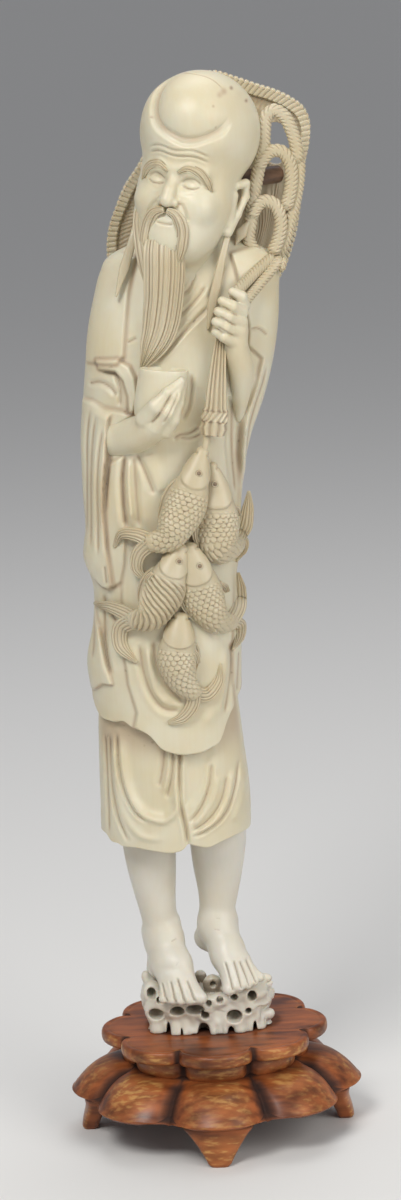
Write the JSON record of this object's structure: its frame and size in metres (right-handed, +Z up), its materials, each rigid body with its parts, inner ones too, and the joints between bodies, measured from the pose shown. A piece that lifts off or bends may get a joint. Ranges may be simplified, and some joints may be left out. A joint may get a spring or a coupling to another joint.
{
  "type": "okimono carving",
  "caption": "Ivory okimono of a bearded old sage with cup, straw hat, looped rope and a string of carp, standing on pierced rock over a lobed wooden stand it lifts from.",
  "frame": {"origin": "centre of the stand's footprint, on the table", "axes": "+Z up, -Y towards the viewer in front of the figure, +X towards the viewer's right"},
  "size_m": [0.078, 0.078, 0.2834],
  "materials": {
    "aged_ivory": "polished and toned aged ivory",
    "white_ivory": "paler polished ivory",
    "ivory_pegs": "plain turned ivory",
    "horn_peg": "brown horn",
    "eye_inlay": "toned ivory inlay",
    "stained_wood": "reddish-brown stain, worn golden on the high spots",
    "dowel_wood": "plain"
  },
  "bodies": {
    "stand": {"stand_apron": "stained_wood", "stand_waist": "stained_wood", "stand_top": "stained_wood", "stand_foot_front": "stained_wood", "stand_foot_right": "stained_wood", "stand_foot_back": "stained_wood", "stand_foot_left": "stained_wood", "stand_dowel": "dowel_wood", "foot_dowels": "dowel_wood"},
    "carving": {"rock_base": "white_ivory", "right_leg": "white_ivory", "left_leg": "white_ivory", "trousers": "aged_ivory", "robe": "aged_ivory", "right_hand": "aged_ivory", "left_hand": "aged_ivory", "head": "aged_ivory", "straw_hat": "aged_ivory", "rope_loops": "aged_ivory", "rope_tassel": "aged_ivory", "fish_cord": "aged_ivory", "fish_upper_left": "aged_ivory", "fish_upper_right": "aged_ivory", "fish_middle_left": "aged_ivory", "fish_middle_right": "aged_ivory", "fish_lower": "aged_ivory", "wine_cup": "aged_ivory", "rock_pegs": "ivory_pegs", "sole_pegs": "ivory_pegs", "leg_pegs": "ivory_pegs", "waist_peg": "ivory_pegs", "wrist_pegs": "ivory_pegs", "neck_peg": "ivory_pegs", "fish_pegs": "ivory_pegs", "hat_back_peg": "ivory_pegs", "hat_side_peg": "horn_peg", "fish_eyes": "eye_inlay"}
  },
  "joints": [
    {"name": "carving_lift", "type": "slide", "parent": "stand", "child": "carving", "axis": [0, 0, 1], "range_m": [0, 0.03]}
  ]
}
